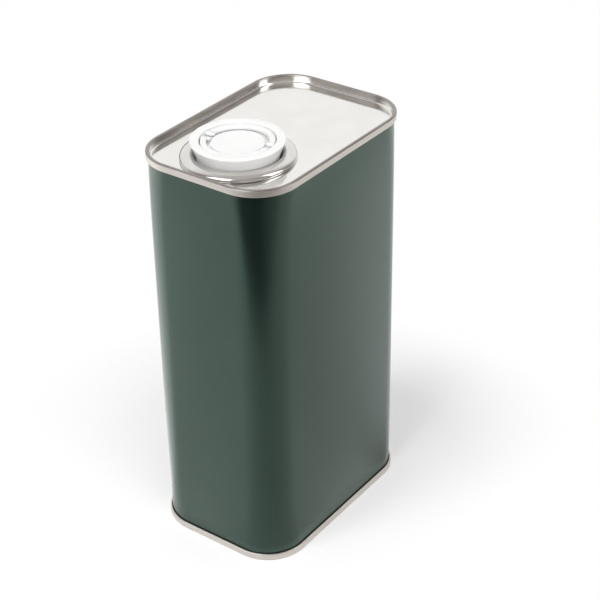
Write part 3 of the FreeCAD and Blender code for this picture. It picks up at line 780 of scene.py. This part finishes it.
# Screw cap: one outline turned round the axis, a straight waist flaring to the lip, a groove for
# the bails round a raised disc, and a hollow under it; the thread stands inside the waist.
def makeCap(size):
    lipFoot = size["top"] - size["lipRound"] - size["lipEdge"]
    loop = roundedLoop([(size["inner"], size["foot"]), (size["outer"], size["foot"]),
                        (size["outer"], size["waist"]), (size["lip"], lipFoot),
                        (size["lip"], size["top"]), (size["grooveOuter"], size["top"]),
                        (size["grooveOuter"], size["grooveFloor"]),
                        (size["grooveInner"], size["grooveFloor"]), (size["grooveInner"], size["disc"])],
                       [*size["footRounds"], size["waistRound"], size["lipUnder"], size["lipRound"],
                        size["brimRound"], size["grooveRound"], size["grooveRound"], size["discRound"]])
    inside = roundedLoop([(size["hollow"], size["hollowTop"]), (size["hollow"], size["underside"]),
                          (size["inner"], size["underside"])], [0, size["hollowRound"], 0])
    share = np.linspace(1, 0, size["discRows"])[1:-1, None]
    under, top = drawnIn(inside[0], share[::-1]), drawnIn(loop[-1], share)
    shell = cappedFaces(aroundAxis(np.vstack([under, inside, loop, top])))
    ridges = threadRidges(size["inner"], -1, size["threadFoot"], size["turns"])
    return makePiece("screwCap", together([shell, *ridges]), capWhite)


setOn(makeCap(capShell), "cap", "screw_cap")

linerDisc = {
    "radius": 14.95, "foot": 3.05, "top": 4.0, "edge": 0.2, "rows": 8,
    "ring": (12.6, 13.6, 0.05), "ringSteps": 9,
}


# Sealing disc: a rounded slice whose underside carries the shallow ring pressed in by the spout's
# mouth, half a wave of a sine across
def makeLiner(size):
    inner, outer, depth = size["ring"]
    across = np.linspace(inner, outer, size["ringSteps"])[1:-1]
    wave = np.sin(np.pi * (across - inner) / (outer - inner))
    pressed = np.stack([across, size["foot"] + depth * wave], axis=1)
    edge = bentLine([(outer, size["foot"]), (size["radius"], size["foot"]),
                     (size["radius"], size["top"]), (outer, size["top"])], [size["edge"]] * 2)[0]
    share = np.linspace(0, 1, size["rows"])[1:, None]
    low = np.array([inner, size["foot"]])
    outline = np.vstack([drawnIn(low, share), pressed, edge, drawnIn(edge[-1], share[::-1])])
    return makePiece("capLiner", cappedFaces(aroundAxis(outline)), foam)


setOn(makeLiner(linerDisc), "liner", "cap_liner")

# Bail handles

bailShell = {
    "inner": 12.3, "outer": 14.7, "thick": 1.8, "round": 0.45, "steps": 72,
    "pivotX": 2.2, "pivotZ": 6.45,
    "eye": 0.9, "eyeRound": 0.2, "pin": 0.55, "pinRound": 0.1, "pinStart": 11.09, "pinEnd": 15.54,
    "bendSteps": 5, "spinSteps": 32,
}


# Half ring: a rounded oblong carried along an arc from pivot to pivot, with an eye and a pin turned
# about the pivot line at each end.
def makeBail(name, side, size):
    radius = (size["inner"] + size["outer"]) / 2
    halfWide, halfThick = (size["outer"] - size["inner"]) / 2, size["thick"] / 2
    section = roundedLoop([(-halfWide, -halfThick), (halfWide, -halfThick),
                           (halfWide, halfThick), (-halfWide, halfThick)], [size["round"]] * 4)
    reach = np.pi / 2 - np.arcsin(size["pivotX"] / radius)
    angle = np.linspace(-reach, reach, size["steps"])[:, None]
    out = radius + section[:, 0][None]
    height = np.broadcast_to(size["pivotZ"] + section[:, 1][None], (len(angle), len(section)))
    arc = np.stack([side * out * np.cos(angle), out * np.sin(angle), height], axis=2)
    shells = [cappedFaces(clocked(arc))]
    eyeStart = np.sqrt(size["inner"] ** 2 - size["pivotX"] ** 2)
    eyeEnd = np.sqrt(size["outer"] ** 2 - size["pivotX"] ** 2)
    turned = bentLine([(0, size["pinStart"]), (size["pin"], size["pinStart"]), (size["pin"], eyeStart),
                       (size["eye"], eyeStart), (size["eye"], eyeEnd), (size["pin"], eyeEnd),
                       (size["pin"], size["pinEnd"]), (0, size["pinEnd"])],
                      [size["pinRound"]] * 2 + [size["eyeRound"]] * 2 + [size["pinRound"]] * 2,
                      size["bendSteps"])[0][1:-1]
    spin = np.linspace(0, 2 * np.pi, size["spinSteps"], endpoint=False)[None]
    for end in (1, -1):
        eye = np.stack([side * size["pivotX"] + turned[:, :1] * np.cos(spin),
                        np.broadcast_to(end * turned[:, 1:], (len(turned), spin.size)),
                        size["pivotZ"] + turned[:, :1] * np.sin(spin)], axis=2)
        shells.append(cappedFaces(clocked(eye)))
    return makePiece(name, together(shells), capWhite)


setOn(makeBail("bailLeft", -1, bailShell), "left_bail", "bail_left")
setOn(makeBail("bailRight", 1, bailShell), "right_bail", "bail_right")
print("closure made")

# Stage

# Distances in metres, angles in degrees
studio = {
    "sky": 0.44, "floorColour": (0.98, 0.98, 0.98), "floorRoughness": 0.9, "floorHalf": 2.5,
    "floorGlow": (0.29, 0.98), "glowFrom": (0.09, 0.15), "aim": 0.09,
    "key": {"azimuth": 172, "elevation": 58, "distance": 3.0, "size": 1.3, "power": 51},
    "fill": {"azimuth": -120, "elevation": 25, "distance": 1.3, "size": 1.0, "power": 9.0},
}


# The share of rays that see the white background: camera, glossy and transmission rays
def backgroundRays(tree):
    path = tree.nodes.new("ShaderNodeLightPath")
    seen = path.outputs["Is Camera Ray"]
    for ray in ("Is Glossy Ray", "Is Transmission Ray"):
        seen = mathOn(tree, "MAXIMUM", seen, path.outputs[ray])
    return seen


def makeWorld(look):
    world = bpy.data.worlds.new("studio")
    world.use_nodes = True
    bpy.context.scene.world = world
    tree = world.node_tree
    output, soft = tree.nodes["World Output"], tree.nodes["Background"]
    soft.inputs["Color"].default_value = (*white, 1)
    soft.inputs["Strength"].default_value = look["sky"]
    seen = addNode(tree, "ShaderNodeBackground", Color=(*white, 1), Strength=1.0)
    mix = tree.nodes.new("ShaderNodeMixShader")
    tree.links.new(backgroundRays(tree), mix.inputs["Fac"])
    tree.links.new(soft.outputs["Background"], mix.inputs[1])
    tree.links.new(seen.outputs["Background"], mix.inputs[2])
    tree.links.new(mix.outputs["Shader"], output.inputs["Surface"])


# Pale floor that keeps the tin's shadow: a part of what the camera sees of it is its own white,
# and that part grows with the distance from the tin
def makeFloor(look):
    half = look["floorHalf"]
    mesh = bpy.data.meshes.new("floor")
    corners = [(-half, -half, 0), (half, -half, 0), (half, half, 0), (-half, half, 0)]
    mesh.from_pydata(corners, [], [(0, 1, 2, 3)])
    floor = bpy.data.objects.new("floor", mesh)
    bpy.context.scene.collection.objects.link(floor)
    material, tree, shader, place = newFinish("paleFloor", Roughness=look["floorRoughness"])
    shader.inputs["Specular IOR Level"].default_value = 0.0
    shader.inputs["Base Color"].default_value = (*look["floorColour"], 1)
    glow = addNode(tree, "ShaderNodeEmission", Color=(*white, 1), Strength=1.0)
    mix = tree.nodes.new("ShaderNodeMixShader")
    away = tree.nodes.new("ShaderNodeVectorMath")
    away.operation = "LENGTH"
    tree.links.new(place, away.inputs[0])
    grown = span(tree, away.outputs["Value"], *look["floorGlow"], look["glowFrom"])
    part = mathOn(tree, "MULTIPLY", backgroundRays(tree), grown)
    tree.links.new(part, mix.inputs["Fac"])
    tree.links.new(shader.outputs["BSDF"], mix.inputs[1])
    tree.links.new(glow.outputs["Emission"], mix.inputs[2])
    tree.links.new(mix.outputs["Shader"], tree.nodes["Material Output"].inputs["Surface"])
    mesh.materials.append(material)


# Surfaces that only reflections see are warmer where they are dim, within a window of their level
dimGlow = {"tint": (1, 0.925, 0.90), "window": (0.4, 0.9)}


# A surface that only reflections see, which glows by a field on its points
def reflectedOnly(name, points, faces, glow):
    material, tree = newFinish(name)[:2]
    light = tree.nodes.new("ShaderNodeEmission")
    field = tree.nodes.new("ShaderNodeAttribute")
    field.attribute_name = "glow"
    level = field.outputs["Fac"]
    tree.links.new(level, light.inputs["Strength"])
    tree.links.new(shades(tree, level, dimGlow["tint"], white, dimGlow["window"]), light.inputs["Color"])
    tree.links.new(light.outputs["Emission"], tree.nodes["Material Output"].inputs["Surface"])
    mesh = bpy.data.meshes.new(name)
    mesh.from_pydata((points * mm).tolist(), [], faces)
    mesh.attributes.new("glow", "FLOAT", "POINT").data.foreach_set("value", glow)
    mesh.materials.append(material)
    shown = bpy.data.objects.new(name, mesh)
    for ray in ("camera", "diffuse", "transmission", "volume_scatter", "shadow"):
        setattr(shown, "visible_" + ray, False)
    bpy.context.scene.collection.objects.link(shown)


# Soft window that is one inside a half width and falls to zero over the fade
def softWindow(distance, half, fade):
    return eased(np.clip((half + fade - abs(distance)) / fade, 0, 1))


# The turn in degrees from one azimuth to another, from -180 to 180
def turnFrom(azimuth, start):
    return (azimuth - start + 180) % 360 - 180


# Grey room, its radius in millimetres: white behind the tin, dim elsewhere by azimuth, a lighter
# ceiling, and two lit panels given as azimuth, elevation, half widths and added brightness
room = {
    "radius": 4000, "whiteAt": 50, "whiteHalf": 45, "fade": 40, "ceiling": 0.56, "ceilingFrom": (45, 75),
    "levels": [(-180, 0.52), (-150, 0.46), (-100, 0.40), (-37, 0.33), (143, 0.30), (180, 0.52)],
    "panels": [(176, 29, 22, 31, 2.2), (-66, 29, 12, 31, 2.2)], "panelFade": 3,
    "columns": 180, "rows": 60, "elevations": (-2, 89),
}


# Room as a dome of azimuth and elevation: dim walls, white behind the tin, eased into the
# ceiling with height, and the lit panels on top with soft edges
def makeRoom(look):
    azimuth = np.linspace(-180, 180, look["columns"], endpoint=False)[None]
    elevation = np.linspace(*look["elevations"], look["rows"])[:, None]
    out, turn, tilt = look["radius"], np.radians(azimuth), np.radians(elevation)
    grid = np.stack([out * np.cos(tilt) * np.cos(turn), out * np.cos(tilt) * np.sin(turn),
                     out * np.sin(tilt) * np.ones_like(turn)], axis=2)
    dim = np.interp(azimuth, *zip(*look["levels"]))
    behind = softWindow(turnFrom(azimuth, look["whiteAt"]), look["whiteHalf"], look["fade"])
    high = np.interp(elevation, look["ceilingFrom"], (0, 1))
    bright = (dim + (1 - dim) * behind) * (1 - high) + look["ceiling"] * high
    for panelAzimuth, panelElevation, wide, tall, added in look["panels"]:
        across = softWindow(turnFrom(azimuth, panelAzimuth), wide, look["panelFade"])
        upright = softWindow(elevation - panelElevation, tall, look["panelFade"])
        bright += added * across * upright
    points, faces = gridFaces(grid, rowsJoin=False, poles=(False, True))
    glow = np.concatenate([bright.reshape(-1), bright[-1:].mean(axis=1)])
    reflectedOnly("greyRoom", points, faces, glow)


# Ground in millimetres: its level by azimuth, a dip towards the camera given as azimuth, half
# width, fade and depth, darker levels past a straight edge on the camera's side, lighter close to
# the tin and shaded beside it. Its rows are given as first, last and count.
ground = {
    "levels": [(-180, 1.0), (-95, 0.74), (-60, 0.74), (-46, 0.86), (-36, 1.02), (-27, 1.15), (0, 1.0),
               (30, 1.2), (85, 1.2), (105, 1.65), (128, 1.65), (138, 1.15), (146, 1.0), (180, 1.0)],
    "dip": (-143, 5, 60, 0.30), "towards": (-0.801, -0.598), "edge": 242, "soft": 70,
    "dark": [(-180, 0.0), (-142, 0.0), (-110, 0.3), (-60, 0.3), (0, 0.0), (180, 0.0)],
    "near": 0.2, "nearReach": 40,
    "shade": 0.5, "shadeReach": 35, "shadeFrom": (-50, 60), "shadeFade": 20,
    "height": 0.3, "nearRows": (6, 306, 31), "farRows": (350, 900, 6),
}


# Ground in rows at growing distances round the tin. Its brightness is set by azimuth, then shaded
# beside the tin, then darkened past the edge on the camera's side.
def makeGround(look):
    away = np.concatenate([np.linspace(*look["nearRows"]), np.linspace(*look["farRows"])])
    grid = aroundTin(np.stack([away, np.full(len(away), look["height"])], axis=1))
    x, y = grid[..., 0], grid[..., 1]
    azimuth = np.degrees(np.arctan2(y, x))
    bright = np.interp(azimuth, *zip(*look["levels"]))
    dipAt, dipHalf, dipFade, depth = look["dip"]
    bright *= 1 - depth * softWindow(turnFrom(azimuth, dipAt), dipHalf, dipFade)
    bright *= 1 + look["near"] * np.exp(-away / look["nearReach"])[:, None]
    low, high = look["shadeFrom"]
    half = (high - low - look["shadeFade"]) / 2
    beside = softWindow(turnFrom(azimuth, (low + high) / 2), half, look["shadeFade"])
    bright *= 1 - look["shade"] * beside * np.exp(-away / look["shadeReach"])[:, None]
    along = x * look["towards"][0] + y * look["towards"][1]
    past = eased(np.clip((along - look["edge"]) / look["soft"] + 0.5, 0, 1))
    bright = bright * (1 - past) + np.interp(azimuth, *zip(*look["dark"])) * past
    points, faces = gridFaces(grid, rowsJoin=False)
    reflectedOnly("litGround", points, faces, bright.reshape(-1))


# Unit vector from the origin towards a direction given in radians
def outward(azimuth, elevation):
    level = np.cos(elevation)
    return np.array([level * np.cos(azimuth), level * np.sin(azimuth), np.sin(elevation)])


# Sets an object by its right, up and back axes and its place
def placeBy(shown, *axes):
    matrix = np.eye(4)
    matrix[:3] = np.stack(axes, axis=1)
    shown.matrix_world = Matrix(matrix.tolist())
    bpy.context.scene.collection.objects.link(shown)


# A square soft box that faces a point above the origin, and that reflections don't see
def makeSoftBox(name, look, aim):
    lamp = bpy.data.lights.new(name, "AREA")
    lamp.size = look["size"]
    lamp.energy = look["power"]
    box = bpy.data.objects.new(name, lamp)
    box.visible_glossy = False
    back = outward(*np.radians([look["azimuth"], look["elevation"]]))
    right = np.cross([0, 0, 1], back)
    right /= np.linalg.norm(right)
    placeBy(box, right, np.cross(back, right), back, back * look["distance"] + [0, 0, aim])


makeWorld(studio)
makeFloor(studio)
makeRoom(room)
makeGround(ground)
makeSoftBox("keyLight", studio["key"], studio["aim"])
makeSoftBox("fillLight", studio["fill"], studio["aim"])

# Camera

# Angles in degrees, the azimuth counted from -Y; distance, target, lens and sensor in millimetres,
# clip in metres
viewpoint = {
    "azimuth": -53.366, "elevation": 31.73, "roll": -1.029, "distance": 695.01,
    "target": (15.605, 0.034, 90.125), "lens": 96.2894, "sensor": 36, "clip": (0.01, 20),
}


# Camera on a sphere round its target, then rolled about its own line of sight
def makeCamera(look):
    azimuth, elevation, roll = np.radians([look["azimuth"], look["elevation"], look["roll"]])
    back = outward(azimuth - np.pi / 2, elevation)
    right = np.cross(-back, [0, 0, 1])
    right /= np.linalg.norm(right)
    up = np.cross(right, -back)
    data = bpy.data.cameras.new("camera")
    data.sensor_width = look["sensor"]
    data.lens = look["lens"]
    data.clip_start, data.clip_end = look["clip"]
    camera = bpy.data.objects.new("camera", data)
    placeBy(camera, np.cos(roll) * right + np.sin(roll) * up, np.cos(roll) * up - np.sin(roll) * right,
            back, (np.array(look["target"]) + back * look["distance"]) * mm)
    bpy.context.scene.camera = camera


makeCamera(viewpoint)
bpy.context.scene.view_settings.view_transform = "Standard"
print("stage made")
